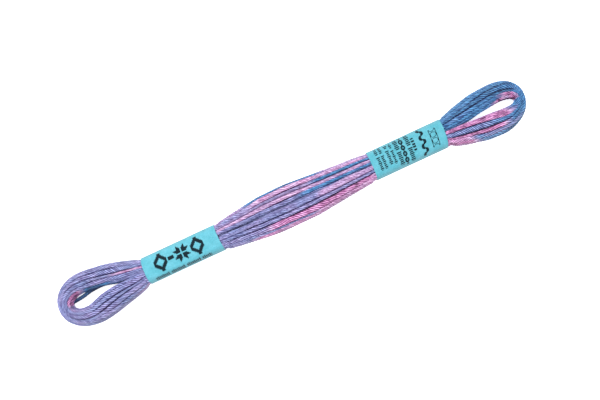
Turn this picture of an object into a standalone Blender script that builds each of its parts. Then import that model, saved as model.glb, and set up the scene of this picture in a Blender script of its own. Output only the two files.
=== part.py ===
"""A skein of stranded embroidery floss: one wound hank, drawn flat, held by two paper bands.

The hank is a closed ring. Its two legs lie side by side along X, and its turns fold round an open
eye at each end. Sizes are in millimetres until they reach a mesh. +X runs along the skein, +Z is up,
and the skein lies on Z = 0.
"""

from collections import namedtuple
from math import cos, pi, radians, sin, tan

import bmesh
import bpy
import numpy as np

MM = 0.001

# Paper bands: rounded sleeves. Skews are degrees off square, bulges are millimetres.
BAND_HEIGHT, BAND_CORNER = 5.5, 2.4
BAND_CROWN = 0.12
BAND_WALL, GAP = 0.3, 0.3
CORNER_STEPS, BAND_STEPS = 7, 8
Band = namedtuple("Band", "name width left right left_skew right_skew left_bulge right_bulge")
BANDS = (
    Band("paper_band_left", 9.05, -51.75, -25.8, 1.0, -1.5, 0.35, -0.2),
    Band("paper_band_right", 9.6, 28.15, 53.5, 1.0, 5.5, -0.15, 0.4),
)

# The hank where a band squeezes it, clear of the paper.
NECK_L, NECK_R = (band.width / 2 - BAND_WALL - GAP - 0.02 for band in BANDS)
NECK_BOTTOM = BAND_WALL + GAP + 0.1
NECK_TOP = BAND_HEIGHT - BAND_WALL - GAP - 0.1

# The hank's legs, a row for each place where the outline turns. outer_* is the skein's own edge;
# inner_* is the edge along an eye, or along the slit between the legs. steps leads to the next row.
Leg = namedtuple("Leg", "x outer_up inner_up inner_down outer_down bottom top steps")
BED = -0.25  # how far the round section would reach below the table, so that it lies flat there
SLIT = 0.15  # half of the gap between the two legs
LEGS = (
    Leg(-71.1, 8.86, 2.25, -2.05, -8.88, BED, 5.3, 4),
    Leg(-66.0, 8.45, 1.70, -0.62, -8.32, BED, 5.3, 3),
    Leg(-60.5, 7.25, 0.42, 0.05, -6.95, BED, 5.3, 3),
    Leg(-55.4, 5.65, SLIT, -SLIT, -5.66, BED, 5.3, 1),
    Leg(-53.6, 4.98, SLIT, -SLIT, -5.05, 0.05, 5.2, 1),
    Leg(-52.55, NECK_L, SLIT, -SLIT, -NECK_L, NECK_BOTTOM, NECK_TOP, 4),
    Leg(-25.05, NECK_L, SLIT, -SLIT, -NECK_L, NECK_BOTTOM, NECK_TOP, 1),
    Leg(-24.0, 4.72, SLIT, -SLIT, -4.90, 0.05, 5.15, 1),
    Leg(-22.0, 4.95, SLIT, -SLIT, -5.10, BED, 5.1, 1),
    Leg(-17.0, 5.55, SLIT, -SLIT, -5.82, BED, 5.05, 1),
    Leg(-13.1, 6.20, SLIT, -SLIT, -6.35, BED, 5.0, 1),
    Leg(-8.0, 6.88, SLIT, -SLIT, -6.80, BED, 4.95, 2),
    Leg(-1.0, 7.02, SLIT, -SLIT, -6.95, BED, 4.9, 2),
    Leg(6.0, 6.60, SLIT, -SLIT, -6.90, BED, 4.95, 1),
    Leg(12.6, 5.95, SLIT, -SLIT, -6.42, BED, 5.0, 1),
    Leg(18.5, 5.45, SLIT, -SLIT, -5.78, BED, 5.05, 1),
    Leg(24.0, 5.15, SLIT, -SLIT, -5.22, BED, 5.1, 1),
    Leg(26.3, 4.95, SLIT, -SLIT, -5.00, 0.05, 5.15, 1),
    Leg(27.4, NECK_R, SLIT, -SLIT, -NECK_R, NECK_BOTTOM, NECK_TOP, 4),
    Leg(54.4, NECK_R, SLIT, -SLIT, -NECK_R, NECK_BOTTOM, NECK_TOP, 1),
    Leg(55.4, 5.05, SLIT, -SLIT, -5.30, 0.05, 5.2, 1),
    Leg(57.4, 5.65, SLIT, -SLIT, -5.95, BED, 5.3, 2),
    Leg(62.5, 7.03, 0.28, -0.10, -7.24, BED, 5.3, 2),
    Leg(67.4, 8.15, 1.10, -0.48, -8.18, BED, 5.3, 3),
    Leg(72.0, 8.45, 1.68, -0.95, -8.32, BED, 5.4, 0),
)

# The folds at the two ends: an outer and an inner oval that share one angle.
Fold = namedtuple("Fold", "reach eye_reach lean tip_shift eye_shift tip_top")
LEFT_FOLD = Fold(reach=11.4, eye_reach=4.0, lean=-2.9, tip_shift=0.3, eye_shift=-0.2, tip_top=5.8)
RIGHT_FOLD = Fold(reach=10.5, eye_reach=3.95, lean=2.9, tip_shift=0.9, eye_shift=-0.3, tip_top=6.2)
FULLNESS = 2.2  # 2 is an ellipse, and more is squarer
LEAN_RUN = 13.0  # the length of leg over which a section leans towards its fold
FOLD_STEPS = 22  # the sections round each fold

# The section of one leg, and the turns that show as ridges round it.
ROUND_SIDE, SQUARE_SIDE = 2.3, 3.4  # how square the section's outer and inner halves are
SLANT = 0.4  # how far the slit leans over, from mid height to the top
RIDGES = 15
RIDGE_POINTS = 3
GROOVE = 0.42
OUTLINE_POINTS = 360

# How each groove wanders to and fro along the ring, in shares of a ridge, and deepens and fades.
# A wave starts at the left end of the upper leg, and steps on from each groove to the next.
Wave = namedtuple("Wave", "size cycles start step")
WANDER = (Wave(0.12, 3, 0, 0.37), Wave(0.08, 7, 0, 0.61))
ROLL_START, ROLL = 0.6, Wave(0.35, 1, 0, 0)  # how all of them together roll round the section
DEPTH = Wave(0.3, 5, 0, 0.23)

# The turn that has slipped into the left eye.
STRAY_WIDTH = 1.35
STRAY_ROUTE = (
    (-80.0, 0.60, 2.0),
    (-77.6, 0.95, 1.5),
    (-74.3, 1.35, 1.3),
    (-71.1, 2.00, 1.35),
    (-67.5, 2.60, 1.6),
    (-64.0, 3.20, 2.0),
)

FLOSS_COLOUR = (0.25, 0.30, 0.58, 1.0)
PAPER_COLOUR = (0.17, 0.68, 0.82, 1.0)


def clear_scene():
    for item in list(bpy.data.objects):
        bpy.data.objects.remove(item, do_unlink=True)


def collection_of(name):
    made = bpy.data.collections.new(name)
    bpy.context.scene.collection.children.link(made)
    return made


def material_of(name, colour, roughness):
    made = bpy.data.materials.new(name)
    made.use_nodes = True
    shader = made.node_tree.nodes["Principled BSDF"]
    shader.inputs["Base Color"].default_value = colour
    shader.inputs["Roughness"].default_value = roughness
    return made


def ease(t):
    t = min(max(t, 0.0), 1.0)
    return t * t * (3 - 2 * t)


def smooth_column(column, x):
    """A column of LEGS at x: a cubic through the rows that never passes beyond them."""
    places = np.array([row.x for row in LEGS])
    values = np.array([getattr(row, column) for row in LEGS])
    widths = np.diff(places)
    rises = np.diff(values) / widths
    before, after = rises[:-1], rises[1:]
    same_way = before * after > 0
    slopes = np.zeros(len(values))
    slopes[1:-1] = np.where(same_way, 2 * before * after / np.where(same_way, before + after, 1), 0)
    i = int(np.clip(np.searchsorted(places, x, side="right") - 1, 0, len(widths) - 1))
    t = (x - places[i]) / widths[i]
    level = values[i] * (1 + 2 * t) * (1 - t) ** 2 + values[i + 1] * (3 - 2 * t) * t**2
    return level + widths[i] * t * (1 - t) * (slopes[i] * (1 - t) - slopes[i + 1] * t)


# One section of the ring: its edges seen from above, its heights, and how square its inner half is.
# pressed is 1 where the legs lie against each other, and 0 round an eye. side is 1 on the upper leg.
Section = namedtuple("Section", "inner outer bottom top pressed side")


def leg_section(x, side):
    """The section of the upper (side 1) or lower (side -1) leg whose outer edge is at x."""
    which = "up" if side > 0 else "down"
    left = ease(1 - (x - LEGS[0].x) / LEAN_RUN)
    right = ease(1 - (LEGS[-1].x - x) / LEAN_RUN)
    lean = LEFT_FOLD.lean * left + RIGHT_FOLD.lean * right
    inner = np.array([x + lean, smooth_column("inner_" + which, x)])
    outer = np.array([x, smooth_column("outer_" + which, x)])
    bottom, top = smooth_column("bottom", x), smooth_column("top", x)
    return Section(inner, outer, bottom, top, 1 - left - right, side)


def fold_section(row, fold, way, angle):
    """A section of the fold past the table's row, at an angle up from the skein's axis."""
    along, across = cos(angle), sin(angle)

    def on_oval(x, up, down, reach, shift):
        level = np.sign(across) * abs(across) ** (2 / FULLNESS)
        y = (up + down) / 2 + (up - down) / 2 * level + along * shift
        return np.array([x + way * reach * along ** (2 / FULLNESS), y])

    up, down = row.inner_up, row.inner_down
    inner = on_oval(row.x + fold.lean, up, down, fold.eye_reach, fold.eye_shift)
    outer = on_oval(row.x, row.outer_up, row.outer_down, fold.reach, fold.tip_shift)
    top = row.top + (fold.tip_top - row.top) * along
    return Section(inner, outer, row.bottom, top, 0, 0)


def hank_sections():
    """Every section of the ring: along the upper leg, round the right fold, back, and round."""
    places = [LEGS[0].x]
    for row, following in zip(LEGS, LEGS[1:]):
        places += [row.x + (following.x - row.x) * (i + 1) / row.steps for i in range(row.steps)]
    turn = [pi / 2 - pi * i / FOLD_STEPS for i in range(1, FOLD_STEPS)]
    return (
        [leg_section(x, 1) for x in places]
        + [fold_section(LEGS[-1], RIGHT_FOLD, 1, angle) for angle in turn]
        + [leg_section(x, -1) for x in reversed(places)]
        + [fold_section(LEGS[0], LEFT_FOLD, -1, angle) for angle in reversed(turn)]
    )


def unit_outline(squareness):
    """A rounded outline from -1 to 1 both ways, and how far along it each point lies, 0 to 1."""
    angles = np.linspace(0, 2 * pi, OUTLINE_POINTS + 1)
    power = 2 / np.where(np.cos(angles) > 0, ROUND_SIDE, squareness)
    across = np.sign(np.cos(angles)) * np.abs(np.cos(angles)) ** power
    upward = np.sign(np.sin(angles)) * np.abs(np.sin(angles)) ** power
    steps = np.hypot(np.diff(across), np.diff(upward))
    return across, upward, np.concatenate([[0], np.cumsum(steps)]) / steps.sum()


def wave(kind, share, ridge):
    return kind.size * sin(2 * pi * (kind.cycles * share + kind.start + kind.step * ridge))


def ridged_outline(section, share):
    """The points round one section, each turn of floss a ridge. share is 0 to 1 round the ring."""
    half_width = float(np.linalg.norm(section.outer - section.inner)) / 2
    half_height = (section.top - section.bottom) / 2
    middle = (section.outer + section.inner) / 2
    outward = (section.outer - section.inner) / 2 / half_width
    across, upward, arc = unit_outline(ROUND_SIDE + (SQUARE_SIDE - ROUND_SIDE) * section.pressed)
    roll = ROLL_START + wave(ROLL, share, 0)
    points = []
    for i in range(RIDGES * RIDGE_POINTS):
        ridge, step = divmod(i, RIDGE_POINTS)
        drift = sum(wave(kind, share, ridge) for kind in WANDER) if step == 0 else 0
        place = ((ridge + step / RIDGE_POINTS + drift + roll) / RIDGES) % 1
        flat = np.array([np.interp(place, arc, across), np.interp(place, arc, upward)])
        slant = section.pressed * SLANT * flat[1] * (1 - flat[0]) / 2
        flat *= (half_width, half_height)
        if step == 0:
            flat *= 1 - GROOVE * (1 + wave(DEPTH, share, ridge)) / np.linalg.norm(flat)
        x, y = middle + outward * flat[0]
        z = (section.bottom + section.top) / 2 + flat[1]
        points.append((x, y + slant, max(z, 0.0)))
    return points


def loft(name, rings, ring_closes):
    """A surface through rings of equally many points; ring_closes joins the last to the first."""
    mesh = bpy.data.meshes.new(name)
    build = bmesh.new()
    rows = [[build.verts.new(np.array(point) * MM) for point in ring] for ring in rings]
    following_rows = rows[1:] + rows[:1] if ring_closes else rows[1:]
    for row, following in zip(rows, following_rows):
        for i in range(len(row)):
            j = (i + 1) % len(row)
            build.faces.new((row[i], row[j], following[j], following[i]))
    bmesh.ops.recalc_face_normals(build, faces=build.faces)
    build.to_mesh(mesh)
    build.free()
    return bpy.data.objects.new(name, mesh)


def tube(name, route, width, collection):
    """A closed mesh tube along a smooth curve through the route's points."""
    curve = bpy.data.curves.new(name, "CURVE")
    curve.dimensions = "3D"
    curve.bevel_depth = width / 2 * MM
    curve.bevel_resolution = 2
    curve.resolution_u = 3
    curve.use_fill_caps = True
    spline = curve.splines.new("BEZIER")
    spline.bezier_points.add(len(route) - 1)
    for point, place in zip(spline.bezier_points, route):
        point.co = [value * MM for value in place]
        point.handle_left_type = point.handle_right_type = "AUTO"
    drawn = bpy.data.objects.new(name + "_curve", curve)
    collection.objects.link(drawn)
    bpy.context.view_layer.update()
    graph = bpy.context.evaluated_depsgraph_get()
    mesh = bpy.data.meshes.new_from_object(drawn.evaluated_get(graph))
    build = bmesh.new()
    build.from_mesh(mesh)
    bmesh.ops.remove_doubles(build, verts=build.verts, dist=0.00001)
    bmesh.ops.recalc_face_normals(build, faces=build.faces)
    build.to_mesh(mesh)
    build.free()
    solid = bpy.data.objects.new(name, mesh)
    solid.matrix_world = drawn.matrix_world
    bpy.data.objects.remove(drawn, do_unlink=True)
    collection.objects.link(solid)
    return solid


def make_hank(collection, helpers, material):
    """The wound ring, with the slipped turn joined to it."""
    sections = hank_sections()
    rings = [ridged_outline(section, i / len(sections)) for i, section in enumerate(sections)]
    hank = loft("floss_hank", rings, ring_closes=True)
    hank.data.materials.append(material)
    hank.data.shade_smooth()
    collection.objects.link(hank)
    stray = tube("stray_turn", STRAY_ROUTE, STRAY_WIDTH, helpers)
    stray.hide_render = True
    stray.display_type = "WIRE"
    join = hank.modifiers.new("stray turn", "BOOLEAN")
    join.operation = "UNION"
    join.object = stray


def band_outline(width):
    """A band's rounded outline: points across and up, anticlockwise seen from +X."""
    level = width / 2 - BAND_CORNER
    high = BAND_HEIGHT - BAND_CORNER
    corners = ((level, high, 0), (-level, high, 90), (-level, BAND_CORNER, 180), (level, BAND_CORNER, 270))
    outline = []
    for y, z, start in corners:
        for i in range(CORNER_STEPS + 1):
            angle = radians(start + 90 * i / CORNER_STEPS)
            outline.append((y + BAND_CORNER * cos(angle), z + BAND_CORNER * sin(angle)))
        if start == 0:
            outline.append((0.0, BAND_HEIGHT + BAND_CROWN))
    return outline


def band_edge(place, skew, bulge, y, width):
    """Where a cut end of the paper lies, y across from the skein's axis."""
    return place + tan(radians(skew)) * y + bulge * (1 - (2 * y / width) ** 2)


def make_band(band, collection, material):
    rings = []
    for i in range(BAND_STEPS + 1):
        ring = []
        for y, z in band_outline(band.width):
            left = band_edge(band.left, band.left_skew, -band.left_bulge, y, band.width)
            right = band_edge(band.right, band.right_skew, band.right_bulge, y, band.width)
            ring.append((left + (right - left) * i / BAND_STEPS, y, z))
        rings.append(ring)
    sleeve = loft(band.name, rings, ring_closes=False)
    sleeve.data.materials.append(material)
    sleeve.data.shade_smooth()
    collection.objects.link(sleeve)
    wall = sleeve.modifiers.new("paper", "SOLIDIFY")
    wall.thickness = BAND_WALL * MM
    wall.offset = -1
    wall.use_even_offset = True


def main():
    clear_scene()
    skein = collection_of("embroidery_floss_skein")
    helpers = collection_of("helpers")
    floss = material_of("floss", FLOSS_COLOUR, 0.75)
    paper = material_of("paper", PAPER_COLOUR, 0.5)
    make_hank(skein, helpers, floss)
    for band in BANDS:
        make_band(band, skein, paper)


main()
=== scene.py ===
"""The looks of a skein of stranded embroidery floss: every turn of the hank as a twisted thread of
six strands, the turn that has slipped into an eye, and two paper bands with a printed ornament.

Sizes are in millimetres until they reach a mesh. +X runs along the skein, +Z is up, and the skein
lies on Z = 0. The tables of the ring and of the bands repeat those of the solids, with real paper
in place of the solids' thicker walls.
"""

from collections import namedtuple
from math import cos, pi, radians, sin, tan

import bpy
import numpy as np
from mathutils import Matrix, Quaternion, Vector


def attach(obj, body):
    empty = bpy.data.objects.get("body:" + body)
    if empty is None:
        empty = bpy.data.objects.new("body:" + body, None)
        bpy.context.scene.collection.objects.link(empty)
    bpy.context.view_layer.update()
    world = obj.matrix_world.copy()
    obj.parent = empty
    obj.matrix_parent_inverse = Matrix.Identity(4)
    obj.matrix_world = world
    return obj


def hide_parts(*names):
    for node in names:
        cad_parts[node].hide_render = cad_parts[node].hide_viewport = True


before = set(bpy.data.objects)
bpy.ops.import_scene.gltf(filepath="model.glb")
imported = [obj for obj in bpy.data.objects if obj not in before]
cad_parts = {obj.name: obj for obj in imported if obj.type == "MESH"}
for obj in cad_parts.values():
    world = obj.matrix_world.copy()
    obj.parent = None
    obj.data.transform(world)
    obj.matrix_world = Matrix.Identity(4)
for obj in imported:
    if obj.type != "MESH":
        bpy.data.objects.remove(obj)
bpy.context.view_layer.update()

MM = 0.001
TURN = 2 * pi

# ------------ the paper bands' sizes
PAPER = 0.12  # the paper's thickness
CLEARANCE = 0.05  # between the paper and the turns that it holds
LAP_ROOM = 0.13  # under those turns, for the second layer of paper where its ends overlap
BAND_HEIGHT, BAND_CORNER = 5.5, 2.4
BAND_CROWN = 0.12  # how far the top bulges between its corners
# left and right are the two cut ends. Skews are degrees off square.
Band = namedtuple("Band", "node width left right left_skew right_skew left_bulge right_bulge")
BANDS = (
    Band("paper_band_left", 9.05, -51.75, -25.8, 1.0, -1.5, 0.35, -0.2),
    Band("paper_band_right", 9.6, 28.15, 53.5, 1.0, 5.5, -0.15, 0.4),
)

# ------------ the ring that the turns follow
# The hank where a band squeezes it.
NECK_L, NECK_R = (band.width / 2 - PAPER - CLEARANCE for band in BANDS)
NECK_BOTTOM = PAPER + CLEARANCE + LAP_ROOM
NECK_TOP = BAND_HEIGHT - PAPER - CLEARANCE

# The hank's legs, a row for each place where the outline turns. outer_* is the skein's own edge;
# inner_* is the edge along an eye, or along the slit between the legs. steps leads to the next row.
Leg = namedtuple("Leg", "x outer_up inner_up inner_down outer_down bottom top steps")
BED = -0.25  # how far the round section would reach below the table, so that it lies flat there
SLIT = -0.08  # half of the gap between the legs: below 0, because their turns press together
LEGS = (
    Leg(-71.1, 8.86, 2.25, -2.05, -8.88, BED, 5.3, 4),
    Leg(-66.0, 8.45, 1.70, -0.62, -8.32, BED, 5.3, 3),
    Leg(-60.5, 7.25, 0.42, 0.05, -6.95, BED, 5.3, 3),
    Leg(-55.4, 5.65, SLIT, -SLIT, -5.66, BED, 5.3, 1),
    Leg(-53.6, 4.98, SLIT, -SLIT, -5.05, 0.05, 5.2, 1),
    Leg(-52.55, NECK_L, SLIT, -SLIT, -NECK_L, NECK_BOTTOM, NECK_TOP, 4),
    Leg(-25.05, NECK_L, SLIT, -SLIT, -NECK_L, NECK_BOTTOM, NECK_TOP, 1),
    Leg(-24.0, 4.72, SLIT, -SLIT, -4.90, 0.05, 5.15, 1),
    Leg(-22.0, 4.95, SLIT, -SLIT, -5.10, BED, 5.1, 1),
    Leg(-17.0, 5.55, SLIT, -SLIT, -5.82, BED, 5.05, 1),
    Leg(-13.1, 6.20, SLIT, -SLIT, -6.35, BED, 5.0, 1),
    Leg(-8.0, 6.88, SLIT, -SLIT, -6.80, BED, 4.95, 2),
    Leg(-1.0, 7.02, SLIT, -SLIT, -6.95, BED, 4.9, 2),
    Leg(6.0, 6.60, SLIT, -SLIT, -6.90, BED, 4.95, 1),
    Leg(12.6, 5.95, SLIT, -SLIT, -6.42, BED, 5.0, 1),
    Leg(18.5, 5.45, SLIT, -SLIT, -5.78, BED, 5.05, 1),
    Leg(24.0, 5.15, SLIT, -SLIT, -5.22, BED, 5.1, 1),
    Leg(26.3, 4.95, SLIT, -SLIT, -5.00, 0.05, 5.15, 1),
    Leg(27.4, NECK_R, SLIT, -SLIT, -NECK_R, NECK_BOTTOM, NECK_TOP, 4),
    Leg(54.4, NECK_R, SLIT, -SLIT, -NECK_R, NECK_BOTTOM, NECK_TOP, 1),
    Leg(55.4, 5.05, SLIT, -SLIT, -5.30, 0.05, 5.2, 1),
    Leg(57.4, 5.65, SLIT, -SLIT, -5.95, BED, 5.3, 2),
    Leg(62.5, 7.03, 0.28, -0.10, -7.24, BED, 5.3, 2),
    Leg(67.4, 8.15, 1.10, -0.48, -8.18, BED, 5.3, 3),
    Leg(72.0, 8.45, 1.68, -0.95, -8.32, BED, 5.4, 0),
)

# The folds at the two ends: an outer and an inner oval that share one angle.
Fold = namedtuple("Fold", "reach eye_reach lean tip_shift eye_shift tip_top")
LEFT_FOLD = Fold(reach=11.4, eye_reach=4.0, lean=-2.9, tip_shift=0.3, eye_shift=-0.2, tip_top=5.8)
RIGHT_FOLD = Fold(reach=10.5, eye_reach=3.95, lean=2.9, tip_shift=0.9, eye_shift=-0.3, tip_top=6.2)
FULLNESS = 2.2  # 2 is an ellipse, and more is squarer
LEAN_RUN = 13.0  # the length of leg over which a section leans towards its fold
FOLD_STEPS = 22  # the sections round each fold

# The section of one leg, and the turns that show round it.
ROUND_SIDE, SQUARE_SIDE = 2.3, 3.4  # how square the section's outer and inner halves are
SLANT = 0.4  # how far the slit leans over, from mid height to the top
RIDGES = 15  # the turns that show
OUTLINE_POINTS = 240
PATH_SAMPLES = 1500  # points by which the length of a turn is measured

# How the line between two turns wanders to and fro along the ring, in shares of a turn's width.
# A wave starts at the left end of the upper leg, and steps on from each turn to the next.
Wave = namedtuple("Wave", "size cycles start step")
WANDER = (
    Wave(0.12, 3, 0, 0.37),
    Wave(0.08, 7, 0, 0.61),
    Wave(0.04, 19, 0, 0.83),
)
ROLL_START, ROLL = 0.6, Wave(0.35, 1, 0, 0)  # how all of them together roll round the section

# ------------ one turn of floss
STRANDS = 6
LOBE = (0.66, 0.92, 1.0, 0.92)  # the strand's profile, from one furrow to the next
LAY = 5.2  # length along a thread in which its strands go once round
# How far, in radians, the strands run ahead of that even twist or behind it.
SLACK = (Wave(1.0, 7, 0, 0.37), Wave(0.5, 19, 0, 0.61), Wave(0.3, 41, 0, 0.13))
THREAD_AREA = 1.30  # of a turn's cross-section, in mm2
THICKEST = 1.5  # that a turn may be from its top to its underside
SIDE_SHADE, SIDE_WIDTH = 0.25, 0.6  # how much less light reaches what stands on edge
OUTER_STEP = 0.36  # between the stations of a twisted thread
# How far a turn stands up from the rest or sinks between them.
HEAVE = (Wave(0.16, 5, 0, 0.73), Wave(0.08, 13, 0, 0.29), Wave(0.05, 23, 0, 0.87))
GRIP_REACH, FREE_RUN = 0.5, 5.0  # how far a band's grip goes on beside it, and then fades away

# The turns that don't show, as rings inside the outer one. A ring's scale is a share of the
# section's size, and so are the width and thickness of its turns.
InnerRing = namedtuple("InnerRing", "turns scale width thickness")
INNER_RINGS = (InnerRing(7, 0.46, 0.21, 0.21), InnerRing(3, 0.16, 0.18, 0.18))
INNER_STEP = 1.3
INNER_SIDES = 8

# The turn that has slipped into the left eye: its route as (x, y, z), and its dye as (x, dye).
# Its dark navy there is a dark blue dye darkened further by painted shade, as it lies in shadow.
STRAY_WIDTH = 1.35
STRAY_ROUTE = (
    (-80.0, 0.60, 2.0),
    (-77.6, 0.95, 1.5),
    (-74.3, 1.35, 1.3),
    (-71.1, 2.00, 1.35),
    (-66.5, 2.10, 1.15),
    (-61.5, 0.85, 0.95),
    (-57.0, 0.10, 0.90),
    (-53.0, 0.00, 0.95),
)
STRAY_DYE_AND_SHADE = ((-66, 1.0), (-60, 0.55))
ROUTE_SAMPLES = 40  # points between two rows of the route by which its length is measured

# ------------ dye
# A turn's colour is one number along this ramp, whose rows are (number, sRGB). Its two darkest
# ends hold painted shade: 0.00 is pink darkened as in shadow, 1.00 a dark blue darkened further.
DYE_AND_SHADE_RAMP = (
    (0.00, (104, 50, 104)),
    (0.07, (212, 151, 198)),
    (0.20, (207, 180, 213)),
    (0.34, (178, 160, 200)),
    (0.50, (149, 152, 196)),
    (0.65, (127, 148, 192)),
    (0.82, (86, 146, 194)),
    (1.00, (56, 84, 124)),
)
# The dye along the ring where nothing else is said, as (x, dye).
BASE_DYE = ((-85, 0.52), (2, 0.50), (14, 0.60), (30, 0.64), (50, 0.80), (85, 0.84))
# Lengths of a turn with a dye of their own. leg is 1 for the upper one and -1 for the lower. turn
# counts from the outer edge over the top to the eye. Near the eyes, a dye below 0.06 or above 0.9
# is painted shade on turns that lie in shadow there.
Stretch = namedtuple("Stretch", "leg turn start end dye")
DYED_AND_SHADED = (
    Stretch(1, 0, -27, -15, 0.34),
    Stretch(1, 0, -14, 12, 0.86),
    Stretch(1, 0, 12, 30, 0.30),
    Stretch(1, 1, -13, 28, 0.16),
    Stretch(1, 2, -26, 9, 0.41),
    Stretch(1, 2, 9, 30, 0.84),
    Stretch(1, 2, 50, 76, 0.88),
    Stretch(1, 3, -62, -48, 0.13),
    Stretch(1, 3, -27, 29, 0.21),
    Stretch(1, 4, -26, 3, 0.52),
    Stretch(1, 4, 3, 30, 0.80),
    Stretch(1, 4, 75, 80, 0.0),
    Stretch(1, 5, -26, 14, 0.54),
    Stretch(1, 5, -76, -64, 0.94),
    Stretch(1, 5, -84, -73, 0.055),
    Stretch(1, 5, 72, 76.5, 0.0),
    Stretch(1, 5, 76.5, 84, 0.0),
    Stretch(1, 6, -76, -62, 1.00),
    Stretch(1, 6, -84, -73.5, 0.02),
    Stretch(1, 6, 70, 84, 0.01),
    Stretch(1, 7, -76, -60, 1.00),
    Stretch(1, 7, -84, -74, 0.05),
    Stretch(1, 7, 70, 84, 0.00),
    Stretch(1, 13, 12, 30, 0.30),
    Stretch(1, 14, -27, -15, 0.34),
    Stretch(1, 14, -14, 12, 0.86),
    Stretch(1, 14, 12, 30, 0.30),
    Stretch(-1, 0, -16, 28, 0.12),
    Stretch(-1, 0, 28, 63, 0.07),
    Stretch(-1, 0, -56, -50, 0.20),
    Stretch(-1, 1, -12, 4, 0.58),
    Stretch(-1, 1, 6, 62, 0.14),
    Stretch(-1, 1, 64, 78, 0.56),
    Stretch(-1, 2, -10, 28, 0.08),
    Stretch(-1, 2, 28, 74, 0.065),
    Stretch(-1, 3, -14, 28, 0.49),
    Stretch(-1, 3, 28, 70, 0.62),
    Stretch(-1, 4, 9, 52, 0.24),
    Stretch(-1, 4, 52, 77, 0.07),
    Stretch(-1, 5, -86, -78.5, 0.12),
    Stretch(-1, 5, 9, 52, 0.24),
    Stretch(-1, 5, 52, 76, 0.07),
    Stretch(-1, 6, -86, -79, 0.02),
    Stretch(-1, 6, 50, 76, 0.20),
    Stretch(-1, 7, -86, -79, 0.05),
    Stretch(-1, 7, 50, 76, 0.24),
    Stretch(-1, 13, -16, 64, 0.28),
    Stretch(-1, 14, -16, 64, 0.18),
)
DYE_SOFTNESS = 5.0  # length over which one dye passes into the next
DYE_DRIFT = (Wave(0.03, 9, 0, 0.41), Wave(0.02, 31, 0, 0.77))
# Painted shade: the tint below darkens the dye in the furrows and where little light reaches.
FURROW_SHADE_TINT = (0.95, 0.62, 1.0, 1.0)  # what the dye's colour is multiplied with in the furrows

# Painted shade on the flanks of two neighbouring turns as though they had parted, from the left
# end to the right. turn is the outer one.
Gap = namedtuple("Gap", "leg turn start end depth")
GAP_SHADES = (
    Gap(1, 5, -82, -74, 1.0),
    Gap(1, 1, -76, -70, 0.3),
    Gap(1, 1, -70, -60, 0.6),
    Gap(1, 2, -78, -56, 0.6),
    Gap(1, 3, -76, -50, 0.4),
    Gap(-1, 4, -78, -56, 0.5),
    Gap(-1, 3, -72, -50, 0.4),
    Gap(-1, 2, -80, -58, 0.5),
    Gap(-1, 1, -74, -56, 0.2),
    Gap(1, 1, -13, 6, 0.3),
    Gap(1, 3, -22, -11, 0.3),
    Gap(1, 3, -8, 3, 0.5),
    Gap(1, 2, 3, 30, 0.4),
    Gap(1, 4, -25, -8, 0.6),
    Gap(1, 4, -8, 30, 1.0),
    Gap(-1, 3, -18, 30, 0.6),
    Gap(-1, 2, -25, -8, 0.5),
    Gap(-1, 2, -2, 30, 0.7),
    Gap(1, 4, 54, 64, 0.5),
    Gap(1, 2, 54, 67, 0.8),
    Gap(1, 1, 66, 74, 0.5),
    Gap(1, 2, 67, 80, 0.4),
    Gap(1, 5, 70, 82, 1.3),
    Gap(-1, 3, 54, 70, 0.5),
    Gap(-1, 2, 56, 76, 0.7),
    Gap(-1, 1, 60, 76, 0.5),
)
# A gap is only painted shade: how it sets in, keeps to the flanks, and runs unevenly.
GAP_SOFTNESS = 3.0  # length over which a gap opens
GAP_EDGE = 4  # how close to a turn's flank its shade stays
GAP_RAG = (Wave(0.35, 29, 0, 0.31), Wave(0.3, 67, 0, 0.57))  # how unevenly the turns have parted

# ------------ other colours, as sRGB
TURQUOISE = (91, 170, 187)
INK = (14, 34, 42)
CUT_PAPER = (196, 232, 240)
# Painted shade: a grey mixed into the colour of sides that stand upright, to darken them.
UPRIGHT_SHADE_GREY = (122, 120, 116)  # mixed into the colour of sides that stand upright


def linear(colour):
    """An sRGB colour of 0 to 255 as a linear RGBA."""
    share = np.array(colour) / 255
    low = share / 12.92
    high = ((share + 0.055) / 1.055) ** 2.4
    return (*np.where(share <= 0.04045, low, high).tolist(), 1.0)


def ease(t):
    """0 up to t = 0 and 1 from t = 1 on, with a smooth rise between."""
    t = np.clip(t, 0.0, 1.0)
    return t * t * (3 - 2 * t)


def unit(vectors):
    return vectors / np.linalg.norm(vectors, axis=-1, keepdims=True)


def lengths_along(points):
    """How far along a path of points each of them lies."""
    return np.concatenate([[0], np.cumsum(np.linalg.norm(np.diff(points, axis=0), axis=1))])


def wave(kind, share, step):
    """A wave's height at that share of the way along, on its step-th copy."""
    return kind.size * np.sin(TURN * (kind.cycles * share + kind.start + kind.step * step))


def waves(kinds, share, step):
    return sum(wave(kind, share, step) for kind in kinds)


# ============ the ring
def leg_places():
    """Where the sections of a leg stand along X."""
    places = [LEGS[0].x]
    for row, following in zip(LEGS, LEGS[1:]):
        places += [row.x + (following.x - row.x) * (i + 1) / row.steps for i in range(row.steps)]
    return np.array(places)


PLACES = leg_places()
LEG_STEPS = len(PLACES) - 1
RING = 2 * (LEG_STEPS + FOLD_STEPS)  # the ring's length, counted in sections of the solid
# Sections of the ring. pressed is 1 where the legs lie side by side, and 0 in the folds.
Ring = namedtuple("Ring", "inner_x inner_y outer_x outer_y bottom top pressed")


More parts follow.
